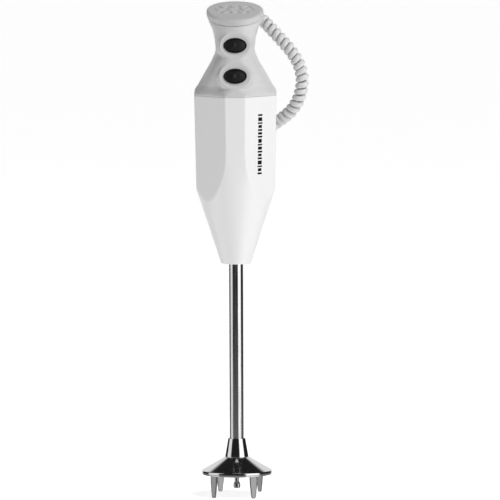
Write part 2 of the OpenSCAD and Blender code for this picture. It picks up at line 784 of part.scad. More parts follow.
module lead_end() {
  color([0.85, 0.85, 0.85]) translate([0, 1, relief_z]) rotate([-90, 0, 0])
    cylinder(r = lead_d / 2, h = relief_in - 1.1);
}

// Cord

module strain_relief() {
  tip = lead_d / 2 + 0.9;
  color([0.8, 0.8, 0.8]) translate([0, 0, relief_z]) rotate([-90, 0, 0])
    turned([[0, relief_in], [6, relief_in], [6, relief_in + 1.5], [4.5, relief_in + 1.5], [4.5, 22],
      [tip, relief_out], [0, relief_out]]);
}

module curly_cord() {
  color([0.85, 0.85, 0.85]) tube_along(placed(curl_route), curl_d / 2, 12, 2);
}

module cord_hank() {
  half = run_x + curl_d / 2;
  color([0.85, 0.85, 0.85]) translate([0, hank_y + curl_d / 2, 0]) rotate([90, 0, 0]) linear_extrude(curl_d)
    union() {
      translate([0, hank_low + half]) circle(r = half);
      translate([-half, hank_low + half]) square([2 * half, hank_top - hank_low - half]);
    }
}

module cord_tail() {
  color([0.85, 0.85, 0.85]) tube_along(placed(tail_route), lead_d / 2, 8, 2);
}

module cord_tie() {
  half = run_x + curl_d / 2;
  low = [-half - 0.3, hank_y - curl_d / 2 - 0.3];
  color([0.2, 0.2, 0.2]) translate([0, 0, tie_z - 6]) linear_extrude(10) difference() {
    translate(low - [1.2, 1.2]) square([2 * half + 3, curl_d + 3]);
    translate(low) square([2 * half + 0.6, curl_d + 0.6]);
  }
}

module plug_body() {
  flat = plug_w / 2 - plug_r;
  color([0.85, 0.85, 0.85]) difference() {
    union() {
      box([-flat, plug_y - plug_r, plug_top - plug_h], [flat, plug_y + plug_r, plug_top]);
      both_x() translate([flat, plug_y, plug_top - plug_h]) cylinder(r = plug_r, h = plug_h);
    }
    both_x() translate([pin_pitch / 2, plug_y, plug_top - plug_h - 1])
      cylinder(r = pin_root_r, h = pin_root_l + 1);
  }
}

module plug_pins() {
  color([0.8, 0.75, 0.6]) both_x() translate([pin_pitch / 2, plug_y, plug_top - plug_h]) {
    translate([0, 0, -pin_l]) cylinder(r = pin_r, h = pin_l + 1);
    cylinder(r = pin_root_r, h = pin_root_l);
  }
}

guard_dish();
guard_hub();
shaft_tube();
drive_shaft();
thrust_collar();
lower_bush();
lip_seal();
upper_bush();
tube_nut();
tube_seal_ring();
body_shell();
seam_gasket();
coupling();
cooling_fan();
motor_shaft();
armature_core();
armature_winding();
commutator();
lower_bracket();
lower_bearing();
stator_core();
field_coils();
upper_bracket();
upper_bearing();
motor_bolts();
motor_screws();
brush_holders();
carbon_brushes();
brush_springs();
capacitor();
head_shell();
head_screws();
top_cap();
upper_bezel();
lower_bezel();
upper_button();
lower_button();
upper_plunger();
lower_plunger();
upper_switch();
lower_switch();
switch_carrier();
speed_diode();
terminal_block();
clamp_bar();
clamp_screws();
lead_end();
strain_relief();
curly_cord();
cord_hank();
cord_tail();
cord_tie();
plug_body();
plug_pins();
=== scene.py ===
"""Immersion blender: the looks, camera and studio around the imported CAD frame. Lengths are in metres."""

import json
import math

import bpy
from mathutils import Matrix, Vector


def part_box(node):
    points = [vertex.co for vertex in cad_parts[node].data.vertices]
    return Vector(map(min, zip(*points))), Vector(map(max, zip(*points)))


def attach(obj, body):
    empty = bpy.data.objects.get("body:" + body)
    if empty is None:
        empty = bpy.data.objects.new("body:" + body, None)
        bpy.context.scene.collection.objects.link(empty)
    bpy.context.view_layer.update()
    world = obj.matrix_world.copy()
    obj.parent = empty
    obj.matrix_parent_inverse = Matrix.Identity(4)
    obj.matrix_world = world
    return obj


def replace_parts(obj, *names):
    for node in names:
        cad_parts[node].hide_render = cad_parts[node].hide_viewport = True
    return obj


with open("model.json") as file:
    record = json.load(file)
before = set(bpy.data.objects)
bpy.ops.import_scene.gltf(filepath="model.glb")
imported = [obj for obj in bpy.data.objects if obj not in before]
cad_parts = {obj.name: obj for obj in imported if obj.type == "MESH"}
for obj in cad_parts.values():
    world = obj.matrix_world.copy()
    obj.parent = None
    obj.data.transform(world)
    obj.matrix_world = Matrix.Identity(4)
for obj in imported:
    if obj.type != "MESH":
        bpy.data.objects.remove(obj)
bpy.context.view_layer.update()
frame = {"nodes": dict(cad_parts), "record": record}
scene = bpy.context.scene
MM = 0.001

# ---------------------------------------------------------------- sizes, from the frame and part.scad

BODY_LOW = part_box("body_shell")[0][2]
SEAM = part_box("body_shell")[1][2]
BODY_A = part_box("body_shell")[1][0]
BODY_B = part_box("body_shell")[1][1]
TUBE_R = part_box("shaft_tube")[1][0]
CAP_R = 22.7 * MM
CAP_FRONT = 26 * MM
CAP_REAR = 18.8 * MM
CAP_TILT = math.radians(18)
CAP_H = 5.4 * MM
CONE_R = 12 * MM
CONE_SLOPE = 0.331
DRAFT = math.tan(math.radians(1.15))
FACET_TURN = math.radians(51)
FLAT_A = 8.2 * MM
WALL = 2.4 * MM
NECK_H = 37 * MM
NECK_A = 15.6 * MM
NECK_REAR = 18.2 * MM
SEAT_H = 63.8 * MM
BUTTON_H = {"upper": 41 * MM, "lower": 17 * MM}
BUTTON_W = 16.2 * MM
BUTTON_L = 9.8 * MM
BUTTON_GAP = 0.25 * MM
BEZEL = 0.9 * MM
LEAD_R = 2.35 * MM
CURL_R = 5.7 * MM
RELIEF_Z = SEAM + 58 * MM
RELIEF_OUT = 33 * MM
RUN_X = 9 * MM
HANK_Y = 46 * MM
HANK_LOW = SEAM - 115 * MM
PLUG_Y = 64 * MM
PLUG_TOP = SEAM - 68 * MM
PLUG_H = 36 * MM

# the cord's routes in mm, with heights from the seam
CURL_ROUTE = [(0, 33, 58), (1, 38, 60), (6, 43, 62), (14, 43.5, 62), (21, 38, 59), (26, 33, 54.5),
              (31.5, 29.5, 48.5), (38.5, 27, 41), (44.8, 26, 33.5), (50, 25.5, 25), (52.8, 25.5, 17),
              (53.6, 25.5, 10), (52.4, 26.5, 1.5), (49.8, 28.5, -6.5), (44.5, 32, -14.5),
              (36.5, 37, -21.5), (27.5, 42, -27.5), (18, 46, -33), (12, 47, -39.5)]
TAIL_ROUTE = [(-9, 46, -52), (-9, 46, -45), (-8.5, 48, -37), (-7, 53, -30), (-5, 60, -27), (-3, 67, -30),
              (-1.5, 70.5, -37), (-0.5, 70.5, -45), (0, 68, -54), (0, 65, -62), (0, 64, -68)]

# ---------------------------------------------------------------- camera

CAMERA_D = 4.84
CAMERA_Z = 0.59
AIM = Vector((0.0112, 0.0, 0.1968))
LENS = 437.9
ROLL = math.radians(-0.22)


def add_camera():
    data = bpy.data.cameras.new("camera")
    data.lens = LENS
    data.sensor_width = 36
    data.clip_end = 50
    cam = bpy.data.objects.new("camera", data)
    scene.collection.objects.link(cam)
    cam.location = (AIM.x, -CAMERA_D, CAMERA_Z)
    look = AIM - cam.location
    turn = look.to_track_quat("-Z", "Y")
    cam.rotation_euler = turn.to_euler()
    cam.rotation_euler.rotate_axis("Z", ROLL)
    scene.camera = cam


add_camera()

# ---------------------------------------------------------------- node materials


class Look:
    """A Principled material whose node graph is built step by step."""

    def __init__(self, name, color, rough, metal=0.0, **sockets):
        self.mat = bpy.data.materials.new(name)
        self.mat.use_nodes = True
        self.tree = self.mat.node_tree
        self.bsdf = self.tree.nodes["Principled BSDF"]
        self.bsdf.inputs["Base Color"].default_value = (*color, 1)
        self.bsdf.inputs["Roughness"].default_value = rough
        self.bsdf.inputs["Metallic"].default_value = metal
        for key, value in sockets.items():
            self.bsdf.inputs[key.replace("_", " ")].default_value = value
        self.color = color
        self.place = self.node("ShaderNodeTexCoord").outputs["Object"]
        self.heights = []

    def node(self, kind, **values):
        made = self.tree.nodes.new(kind)
        for key, value in values.items():
            if key in made.inputs:
                made.inputs[key].default_value = value
            else:
                setattr(made, key, value)
        return made

    def link(self, a, b):
        self.tree.links.new(a, b)

    def noise(self, scale, detail=3.0, stretch=(1, 1, 1)):
        mapping = self.node("ShaderNodeMapping")
        mapping.inputs["Scale"].default_value = stretch
        self.link(self.place, mapping.inputs["Vector"])
        tex = self.node("ShaderNodeTexNoise", Scale=scale, Detail=detail)
        self.link(mapping.outputs["Vector"], tex.inputs["Vector"])
        return tex.outputs["Fac"]

    def cells(self, scale):
        tex = self.node("ShaderNodeTexVoronoi", Scale=scale)
        self.link(self.place, tex.inputs["Vector"])
        return tex.outputs["Distance"]

    def spread(self, fac, low, high, start=0.3, end=0.7):
        ramp = self.node("ShaderNodeMapRange")
        ramp.inputs["From Min"].default_value = start
        ramp.inputs["From Max"].default_value = end
        ramp.inputs["To Min"].default_value = low
        ramp.inputs["To Max"].default_value = high
        self.link(fac, ramp.inputs["Value"])
        return ramp.outputs["Result"]

    def tint(self, fac, other, start=0.35, end=0.65):
        """Colour moves from the base to another one where fac is high."""
        mix = self.node("ShaderNodeMix", data_type="RGBA")
        mix.inputs["A"].default_value = (*self.color, 1)
        mix.inputs["B"].default_value = (*other, 1)
        self.link(self.spread(fac, 0, 1, start, end), mix.inputs["Factor"])
        self.link(mix.outputs["Result"], self.bsdf.inputs["Base Color"])
        return self

    def rough(self, fac, low, high):
        self.link(self.spread(fac, low, high), self.bsdf.inputs["Roughness"])
        return self

    def bump(self, fac, depth):
        """Relief of a real depth; several add up."""
        step = self.node("ShaderNodeBump", Strength=1.0, Distance=depth)
        self.link(fac, step.inputs["Height"])
        if self.heights:
            self.link(self.heights[-1].outputs["Normal"], step.inputs["Normal"])
        self.link(step.outputs["Normal"], self.bsdf.inputs["Normal"])
        self.heights.append(step)
        return self


def gloss_plastic(name, color, rough):
    look = Look(name, color, rough, Coat_Weight=0.35, Coat_Roughness=0.12)
    look.tint(look.noise(4, 1), tuple(c * 0.98 for c in color), 0.2, 0.8)
    look.rough(look.noise(300), rough * 0.92, rough * 1.08)
    look.bump(look.noise(700, 2), 0.000002)
    return look.mat


def satin_plastic(name, color, rough, grain=2200, depth=0.00001):
    look = Look(name, color, rough)
    look.tint(look.noise(14), tuple(c * 0.95 for c in color))
    fine = look.noise(grain, 2)
    look.rough(fine, rough * 0.85, rough * 1.15)
    look.bump(fine, depth)
    return look.mat


def grained_rubber(name, color):
    look = Look(name, color, 0.35)
    look.tint(look.noise(1400, 2), tuple(c * 3.2 for c in color), 0.48, 0.62)
    look.rough(look.noise(900), 0.27, 0.4)
    look.bump(look.cells(1500), 0.00012)
    return look.mat


def steel(name, color, rough, stretch=(1, 1, 1), depth=0.000002):
    look = Look(name, color, rough, 1.0)
    lines = look.noise(900, 3, stretch)
    look.tint(look.noise(30), tuple(c * 0.93 for c in color))
    look.rough(lines, rough * 0.6, rough * 1.5)
    look.bump(lines, depth)
    return look.mat


def woven_tape(name, color):
    look = Look(name, color, 0.9, Sheen_Weight=0.4)
    wave = look.node("ShaderNodeTexWave", Scale=900)
    look.link(look.place, wave.inputs["Vector"])
    look.tint(look.noise(2500), tuple(c * 2.5 + 0.01 for c in color))
    look.bump(wave.outputs["Fac"], 0.0001)
    return look.mat


LOOKS = {
    "polished_steel": steel("polished_steel", (0.82, 0.82, 0.83), 0.1, (1, 1, 0.05)),
    "shaft_steel": steel("shaft_steel", (0.55, 0.55, 0.56), 0.14, (0.1, 0.1, 1)),
    "bronze": steel("bronze", (0.62, 0.42, 0.2), 0.4),
    "brass": steel("brass", (0.75, 0.58, 0.25), 0.3),
    "copper": steel("copper", (0.7, 0.33, 0.15), 0.35),
    "zinc": steel("zinc", (0.6, 0.61, 0.63), 0.45),
    "laminations": steel("laminations", (0.3, 0.3, 0.32), 0.5, (0.02, 0.02, 4)),
    "fasteners": steel("fasteners", (0.5, 0.5, 0.5), 0.3),
    "plug_metal": steel("plug_metal", (0.72, 0.7, 0.65), 0.18),
    "white_plastic": gloss_plastic("white_plastic", (0.8, 0.8, 0.8), 0.3),
    "grey_plastic": satin_plastic("grey_plastic", (0.6, 0.6, 0.6), 0.42),
    "grey_cap": satin_plastic("grey_cap", (0.55, 0.55, 0.55), 0.42),
    "cord_plastic": satin_plastic("cord_plastic", (0.66, 0.66, 0.66), 0.4),
    "plug_plastic": satin_plastic("plug_plastic", (0.7, 0.7, 0.7), 0.45),
    "nylon": satin_plastic("nylon", (0.8, 0.78, 0.7), 0.5),
    "dark_plastic": satin_plastic("dark_plastic", (0.06, 0.06, 0.07), 0.5),
    "yellow_plastic": satin_plastic("yellow_plastic", (0.75, 0.6, 0.1), 0.4),
    "carbon": satin_plastic("carbon", (0.05, 0.05, 0.05), 0.7),
    "black_gloss": gloss_plastic("black_gloss", (0.01, 0.01, 0.01), 0.18),
    "black_rubber": grained_rubber("black_rubber", (0.006, 0.006, 0.006)),
    "tie_fabric": woven_tape("tie_fabric", (0.04, 0.04, 0.04)),
}
# A darker, rougher copy of the polished steel for the prongs, which are the same steel as the dish: painted
# shade
SHADED_PRONG_STEEL = steel("prong_steel_painted_shade", (0.42, 0.42, 0.43), 0.24, (1, 1, 0.1))
MARK_RUBBER = grained_rubber("mark_rubber", (0.05, 0.05, 0.05))

for part in frame["record"]["subparts"]:
    mesh = frame["nodes"][part["node"]].data
    mesh.materials.clear()
    mesh.materials.append(LOOKS[part["material_slot"]])

# ---------------------------------------------------------------- mesh helpers


def linked(name, points, faces):
    """A mesh object in the scene, with nothing said about it yet."""
    mesh = bpy.data.meshes.new(name)
    mesh.from_pydata([tuple(p) for p in points], [], faces)
    mesh.validate()
    made = bpy.data.objects.new(name, mesh)
    scene.collection.objects.link(made)
    return made


def add_mesh(name, points, faces, material, body="casing", look=None):
    """A smooth piece of the object; look stands in for the material's own one."""
    piece = linked(name, points, faces)
    piece.data.materials.append(look or LOOKS[material])
    piece.data.shade_smooth()
    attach(piece, body)
    return piece


def circle(radius, sides):
    turns = [2 * math.pi * i / sides for i in range(sides)]
    return [(radius * math.cos(t), radius * math.sin(t)) for t in turns]


def ring_faces(count, sides, loop=False):
    """Quads between rings of points that follow one another; loop joins the last ring to the first."""
    faces = []
    for k in range(count if loop else count - 1):
        a, b = k * sides, (k + 1) % count * sides
        for i in range(sides):
            j = (i + 1) % sides
            faces.append((a + i, a + j, b + j, b + i))
    return faces


def end_faces(count, sides):
    """The faces that close the first and the last of the rings."""
    last = (count - 1) * sides
    return [tuple(range(sides))[::-1], tuple(range(last, last + sides))]


def unit_path(points):
    """A smooth curve through given points, as close points."""
    pts = [Vector(p) for p in points]
    out = []
    for i in range(len(pts) - 1):
        a, b = pts[max(i - 1, 0)], pts[i]
        c, d = pts[i + 1], pts[min(i + 2, len(pts) - 1)]
        for k in range(12):
            t = k / 12
            out.append(b + t * (c - a) / 2 + t * t * (2 * a - 5 * b + 4 * c - d) / 2
                       + t ** 3 * (3 * b - a - 3 * c + d) / 2)
    return out + [pts[-1]]


def even_path(points, step):
    """The same curve with points a set distance apart."""
    out, carry = [points[0].copy()], 0.0
    for a, b in zip(points, points[1:]):
        span = (b - a).length
        while carry + step <= span + 1e-12:
            carry += step
            out.append(a.lerp(b, carry / span))
        carry -= span
    return out


def frames_along(path):
    """A heading and two sides for each point, turned as little as possible from one to the next."""
    out, side = [], Vector((1, 0, 0))
    for i in range(len(path)):
        heading = (path[min(i + 1, len(path) - 1)] - path[max(i - 1, 0)]).normalized()
        side = (side - heading * side.dot(heading)).normalized()
        out.append((heading, side, heading.cross(side)))
    return out


def tube(name, path, radius, sides, material):
    """A round piece along a path of close points."""
    ring = circle(radius, sides)
    points = [p + x * u + y * v for p, (_, u, v) in zip(path, frames_along(path)) for x, y in ring]
    return add_mesh(name, points, ring_faces(len(path), sides) + end_faces(len(path), sides), material)


# ---------------------------------------------------------------- cord

PITCH = 4.8 * MM
OPEN_PITCH = 12 * MM  # how much longer the turns get where the coil begins and ends
COIL_EASE = 8 * MM
FINE = 10  # points of the coil for each step along its axis
STEP = 0.4 * MM
LEAD_STEP = 1.1 * MM
IN_RELIEF = 5 * MM  # how far inside the strain relief the drawn lead begins


def raised(route):
    return [Vector((x * MM, y * MM, SEAM + z * MM)) for x, y, z in route]


def curl_axis():
    """From the strain relief round the right side, down one run of the hank and up the other."""
    low = HANK_LOW + RUN_X + CURL_R
    points = raised(CURL_ROUTE) + raised([(RUN_X, HANK_Y / MM, z) for z in (-50, -60, -70, -80, -90)])
    for k in range(9):
        a = math.pi * k / 8
        points.append(Vector((RUN_X * math.cos(a), HANK_Y, low - RUN_X * math.sin(a))))
    points += raised([(-RUN_X, HANK_Y / MM, z) for z in (-90, -80, -70, -60, -52)])
    return even_path(unit_path(points), STEP)


def curled(path):
    """The lead wound round the path: closed turns, wider on the outside of a bend and at both ends."""
    coil_r = CURL_R - LEAD_R
    frames = frames_along(path)
    length = len(path) * STEP
    phase, out = 0.0, []
    for i, (p, (heading, u, v)) in enumerate(zip(path, frames)):
        near = frames[min(i + 8, len(path) - 1)][0] - frames[max(i - 8, 0)][0]
        bend = near.length / (16 * STEP)
        s = i * STEP
        grow = min(1, s / COIL_EASE, (length - s) / COIL_EASE)
        grow = grow * grow * (3 - 2 * grow)
        pitch = (PITCH + OPEN_PITCH * (1 - grow)) / max(0.45, 1 - coil_r * bend)
        for k in range(FINE):
            out.append(p + heading * STEP * k / FINE
                       + coil_r * grow * (math.cos(phase) * u + math.sin(phase) * v))
            phase += 2 * math.pi * STEP / pitch / FINE
    return out


def settled(path, rounds):
    """Takes the corners out of a path of close points, and keeps its ends."""
    for _ in range(rounds):
        path = [path[0]] + [(a + 2 * b + c) / 4 for a, b, c in zip(path, path[1:], path[2:])] + [path[-1]]
    return path


def add_cord():
    axis = curl_axis()
    tail = even_path(unit_path(raised(TAIL_ROUTE)), STEP)
    start = [Vector((0, RELIEF_OUT - IN_RELIEF, RELIEF_Z)), axis[0]]
    path = even_path(start, LEAD_STEP)[:-1] + even_path(curled(axis), LEAD_STEP)
    path += even_path(tail, LEAD_STEP)[2:] + [tail[-1]]
    path = settled(even_path(path, LEAD_STEP), 2)
    length = sum((b - a).length for a, b in zip(path, path[1:]))
    piece = tube("cord", path, LEAD_R, 12, "cord_plastic")
    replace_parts(piece, "curly_cord", "cord_hank", "cord_tail")
    return piece, path, length


# ---------------------------------------------------------------- turned and lofted pieces


def lathe(name, profile, sides, material, body="casing", loop=True):
    """A piece turned about the shaft from (radius, height) points; loop joins the last to the first."""
    points = [(x, y, z) for r, z in profile for x, y in circle(r, sides)]
    return add_mesh(name, points, ring_faces(len(profile), sides, loop), material, body)


def rounded(points, radius, steps=5):
    """A closed outline with its corners turned into arcs; radius is one number or one for each corner."""
    out, count = [], len(points)
    for i, (x, z) in enumerate(points):
        r = radius[i] if isinstance(radius, list) else radius
        here = Vector((x, z))
        before = Vector(points[i - 1]) - here
        after = Vector(points[(i + 1) % count]) - here
        reach = min(r, before.length * 0.45, after.length * 0.45)
        if reach < 1e-7:
            out.append((x, z))
            continue
        a, b = here + before.normalized() * reach, here + after.normalized() * reach
        for k in range(steps + 1):
            t = k / steps
            out.append(tuple((1 - t) ** 2 * a + 2 * t * (1 - t) * here + t * t * b))
    return out


def cut(piece, cutters):
    """Cuts closed meshes out of a closed mesh, and leaves no modifier behind."""
    for cutter in cutters:
        step = piece.modifiers.new("cut", "BOOLEAN")
        step.operation = "DIFFERENCE"
        step.solver = "EXACT"
        step.object = cutter
    bpy.context.view_layer.update()
    made = bpy.data.meshes.new_from_object(piece.evaluated_get(bpy.context.evaluated_depsgraph_get()))
    piece.modifiers.clear()
    piece.data = made
    for cutter in cutters:
        bpy.data.objects.remove(cutter)
    made.shade_smooth()


def crisp(piece, degrees=32):
    """Smooth shading, with the edges sharper than this kept sharp."""
    mesh = piece.data
    mesh.shade_smooth()
    mesh.set_sharp_from_angle(angle=math.radians(degrees))


def smooth_step(low, high, x):
    t = min(1, max(0, (x - low) / (high - low)))
    return t * t * (3 - 2 * t)


def blend_to(a, b, t):
    return a + (b - a) * t


def soft_min(a, b, width):
    k = max(0, width - abs(a - b))
    return min(a, b) - k * k / (4 * width)


def through(rows, x):
    """A smooth curve through rows of (x, value, value...)."""
    i = 0
    while i < len(rows) - 2 and x > rows[i + 1][0]:
        i += 1
    a, b, c, d = rows[max(i - 1, 0)], rows[i], rows[i + 1], rows[min(i + 2, len(rows) - 1)]
    t = min(1, max(0, (x - b[0]) / (c[0] - b[0])))
    span = c[0] - b[0]
    out = []
    for k in range(1, len(b)):
        m0 = (c[k] - a[k]) / max(c[0] - a[0], 1e-9) * span
        m1 = (d[k] - b[k]) / max(d[0] - b[0], 1e-9) * span
        out.append((2 * t ** 3 - 3 * t * t + 1) * b[k] + (t ** 3 - 2 * t * t + t) * m0
                   + (3 * t * t - 2 * t ** 3) * c[k] + (t ** 3 - t * t) * m1)
    return out


# ---------------------------------------------------------------- body shell

EDGE = 0.4 * MM
CONE_EASE = 4.5 * MM
BODY_FLOOR = BODY_LOW + 12.4 * MM
TUBE_SLIP = 0.1 * MM


def big_facet(a, b):
    return FLAT_A * a / BODY_A * math.sin(FACET_TURN) + b * math.cos(FACET_TURN)


def octagon(t, a, b, edge=EDGE):
    """Distance from the axis to the eight flats, with their edges eased."""
    c, s = abs(math.cos(t)), abs(math.sin(t))
    side = a / max(c, 1e-6)
    front = b / max(s, 1e-6)
    big = big_facet(a, b) / (c * math.sin(FACET_TURN) + s * math.cos(FACET_TURN))
    return soft_min(soft_min(side, big, edge), soft_min(front, big, edge), edge)


def body_radius(t, z):
    """The cone and its eight flats; the narrow front and rear flats run into the cone in a long curve."""
    lean = (SEAM - z) * DRAFT
    c, s = abs(math.cos(t)), abs(math.sin(t))
    cone = CONE_R + (z - BODY_LOW) * CONE_SLOPE
    front = (BODY_B - lean) / max(s, 1e-6)
    side = (BODY_A - lean) / max(c, 1e-6)
    big = (big_facet(BODY_A, BODY_B) - lean) / (c * math.sin(FACET_TURN) + s * math.cos(FACET_TURN))
    long = soft_min(cone, front, CONE_EASE)
    return soft_min(soft_min(long, side, EDGE), big, EDGE)


def add_body_shell():
    """Outside from the tube up to the seam, then inside down to the floor and through the tube's hole."""
    sides = 480
    lip = 0.5 * MM
    zs = [BODY_LOW + lip * (1 - math.cos(math.pi / 2 * k / 4)) for k in range(5)]
    rounds = {z: lip * (1 - math.sin(math.pi / 2 * k / 4)) for k, z in enumerate(zs)}
    steps = 170
    low, high = zs[-1], SEAM - 0.4 * MM
    zs += [low + (high - low) * k / steps for k in range(1, steps + 1)]
    for k in (1, 2, 3):
        z = high + 0.4 * MM * k / 3
        zs.append(z)
        rounds[z] = 0.35 * MM * (1 - math.sqrt(1 - (k / 3) ** 2 * 0.9))
    angles = [2 * math.pi * i / sides for i in range(sides)]
    points = []
    for z in zs:
        for t in angles:
            r = body_radius(t, z) - rounds.get(z, 0)
            points.append((r * math.cos(t), r * math.sin(t), z))
    inner = [SEAM] + [SEAM - (SEAM - BODY_FLOOR) * k / 24 for k in range(1, 25)]
    for z in inner:
        for t in angles:
            r = body_radius(t, z) - WALL
            points.append((r * math.cos(t), r * math.sin(t), z))
    for z in (BODY_FLOOR, BODY_LOW):
        points += [(x, y, z) for x, y in circle(TUBE_R + TUBE_SLIP, sides)]
    rings = len(zs) + len(inner) + 2
    shell = add_mesh("body_shell_skin", points, ring_faces(rings, sides, True), "white_plastic")
    crisp(shell, 40)
    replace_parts(shell, "body_shell")


# ---------------------------------------------------------------- head shell

SHOULDER = [(0, 1), (0.08, 0.99), (0.16, 0.955), (0.25, 0.86), (0.36, 0.7), (0.49, 0.525), (0.62, 0.355),
            (0.74, 0.205), (0.84, 0.1), (0.92, 0.03), (1, 0)]
FLARE = [(0.17, 0.05), (0.36, 0.14), (0.55, 0.3), (0.7, 0.48), (0.85, 0.75), (1, 0.96)]
PANEL_SLOPE = (BODY_B - CAP_FRONT * math.cos(CAP_TILT)) / (SEAT_H - CAP_FRONT * math.sin(CAP_TILT) - MM)
PANEL_LEAN = math.atan(PANEL_SLOPE)
PANEL_UP = Vector((0, math.sin(PANEL_LEAN), math.cos(PANEL_LEAN)))
PANEL_OUT = Vector((0, -math.cos(PANEL_LEAN), math.sin(PANEL_LEAN)))
HEAD_ROWS = [(u * NECK_H, blend_to(NECK_A, BODY_A, f), blend_to(NECK_REAR, BODY_B, f), 1 - min(1, u / 0.8))
             for u, f in SHOULDER]
HEAD_ROWS += [(blend_to(NECK_H, SEAT_H, u), blend_to(NECK_A, CAP_R, f), blend_to(NECK_REAR, CAP_REAR, f), 0)
              for u, f in FLARE]
DISH = {"upper": (12.7 * MM, 10.3 * MM), "lower": (13.2 * MM, 10.6 * MM)}
DISH_LOW = 0.5 * MM
DISH_SAG = 0.9 * MM
DISH_RIM = (0.94, 1.16)  # where the dish starts to rise and where it ends, as shares of its size
PANEL_DEEP = 14 * MM


def panel_point(h, u, v, w):
    """A point beside a button's centre: u to the right, v up the panel, w out of it."""
    centre = Vector((0, -(BODY_B - PANEL_SLOPE * (h - MM)), SEAM + h))
    return centre + Vector((u, 0, 0)) + v * PANEL_UP + w * PANEL_OUT


def tilt_at(h):
    return CAP_TILT * max(0, h - SEAT_H / 4) / (SEAT_H * 0.75)


def front_at(h):
    tilt = tilt_at(h)
    reach = (BODY_B - PANEL_SLOPE * (h - MM)) / (math.cos(tilt) - PANEL_SLOPE * math.sin(tilt))
    return min(BODY_B, reach)


def head_radius(t, h):
    a, rear, eight = through(HEAD_ROWS, h)
    eight = min(1, max(0, eight))
    front = math.sin(t) < 0
    b = front_at(h) if front else rear
    n = blend_to(3.4, 2, h / SEAT_H) if front else 2.2
    oval = ((abs(math.cos(t)) / a) ** n + (abs(math.sin(t)) / b) ** n) ** (-1 / n)
    if eight <= 0:
        return oval
    edge = EDGE + 12 * MM * smooth_step(0.5, 9, h / MM)
    return blend_to(oval, octagon(t, a, b, edge), eight)


def dished(p):
    """Presses the soft oval dish round each button into the panel."""
    for key, (ru, rv) in DISH.items():
        h = BUTTON_H[key]
        offset = p - panel_point(h, 0, 0, 0)
        u, v, w = offset.x, offset.dot(PANEL_UP), offset.dot(PANEL_OUT)
        rho = math.hypot(u / ru, v / rv)
        if w < -PANEL_DEEP or rho > DISH_RIM[1]:
            continue
        target = -DISH_LOW - DISH_SAG * max(0, 1 - rho * rho)
        share = 1 - smooth_step(*DISH_RIM, rho)
        p = p + (target - w) * share * PANEL_OUT
    return p


def head_point(t, h, inset):
    r = head_radius(t, h) - inset
    tilt = tilt_at(h)
    y = r * math.sin(t)
    return Vector((r * math.cos(t), y * math.cos(tilt), SEAM + h + y * math.sin(tilt)))


def oval_cutter(h, wide, tall, low, high):
    """An oval prism through the panel, low and high measured out of it."""
    sides = 72
    points = [panel_point(h, wide / 2 * x, tall / 2 * y, w) for w in (low, high) for x, y in circle(1, sides)]
    return linked("cutter", points, ring_faces(2, sides) + end_faces(2, sides))


def add_head_shell():
    """Outside from the seam up to the cap, then inside down again, with a hole for each button."""
    sides, steps, inner_steps = 288, 150, 24
    angles = [2 * math.pi * i / sides for i in range(sides)]
    points = []
    for k in range(steps + 1):
        h = SEAT_H * k / steps
        foot = 0.4 * MM * max(0, 1 - h / (0.6 * MM)) ** 2
        top = 0.5 * MM * max(0, 1 - (SEAT_H - h) / (0.9 * MM)) ** 2
        points += [dished(head_point(t, h, foot + top)) for t in angles]
    for k in range(inner_steps + 1):
        h = SEAT_H * (1 - k / inner_steps)
        points += [head_point(t, h, WALL + 0.6 * MM) for t in angles]
    faces = ring_faces(steps + inner_steps + 2, sides, True)
    shell = add_mesh("head_shell_skin", points, faces, "grey_plastic")
    grow = 2 * (BUTTON_GAP + BEZEL / 2)
    cut(shell, [oval_cutter(h, BUTTON_W + grow, BUTTON_L + grow, -9 * MM, 6 * MM) for h in BUTTON_H.values()])
    crisp(shell, 40)
    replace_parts(shell, "head_shell")


# ---------------------------------------------------------------- cap

WAVE_H = 0.62 * MM
WAVE_ROWS = ((-6.5, 0.9), (0, 0.62), (6, 0.8))  # each wave's place and how fast it swings, in mm
WAVE_SWING = 1.9
CAP_RIM = 1.9 * MM
CAP_CROWN = 0.5 * MM


def wave_height(x, y):
    """Three rows of raised waves, in place of the embossed words."""
    r = math.hypot(x / 1.18, y)
    high = 0.0
    fade = 1 - smooth_step(12.6, 14.2, r / MM)
    for row, beat in WAVE_ROWS:
        line = abs(y / MM - row - WAVE_SWING * math.sin(x / MM * beat + row))
        high = max(high, fade * (1 - smooth_step(0.5, 1.1, line)))
    return WAVE_H * high


def cap_point(r, a, up):
    """A point of the cap, which reaches further to the front; with no height it lies on the relief."""
    x = r * math.cos(a)
    y = r * math.sin(a) * (CAP_FRONT if math.sin(a) < 0 else CAP_REAR) / CAP_R
    if up is None:
        up = CAP_H + CAP_CROWN * (1 - (r / (CAP_R - CAP_RIM)) ** 2) + wave_height(x, y + 2.5 * MM)
    c, s = math.cos(CAP_TILT), math.sin(CAP_TILT)
    return Vector((x, y * c - up * s, SEAM + SEAT_H + y * s + up * c))


def add_cap():
    sides = 240
    outline = [(CAP_R - 1.2 * MM, 0.12 * MM), (CAP_R - 0.35 * MM, 0.12 * MM), (CAP_R - 0.1 * MM, 0.22 * MM),
               (CAP_R, 0.5 * MM)]
    outline += [(CAP_R, 0.5 * MM + (CAP_H - CAP_RIM - 0.5 * MM) * k / 4) for k in range(1, 5)]
    outline += [(CAP_R - CAP_RIM + CAP_RIM * math.cos(a), CAP_H - CAP_RIM + CAP_RIM * math.sin(a))
                for a in [math.pi / 2 * k / 8 for k in range(1, 9)]]
    outline += [((CAP_R - CAP_RIM) * (1 - k / 80), None) for k in range(1, 80)]
    points = [cap_point(r, 2 * math.pi * i / sides, up) for r, up in outline for i in range(sides)]
    faces = ring_faces(len(outline), sides) + end_faces(len(outline), sides)
    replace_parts(add_mesh("top_cap_skin", points, faces, "grey_cap"), "top_cap")


# ---------------------------------------------------------------- buttons

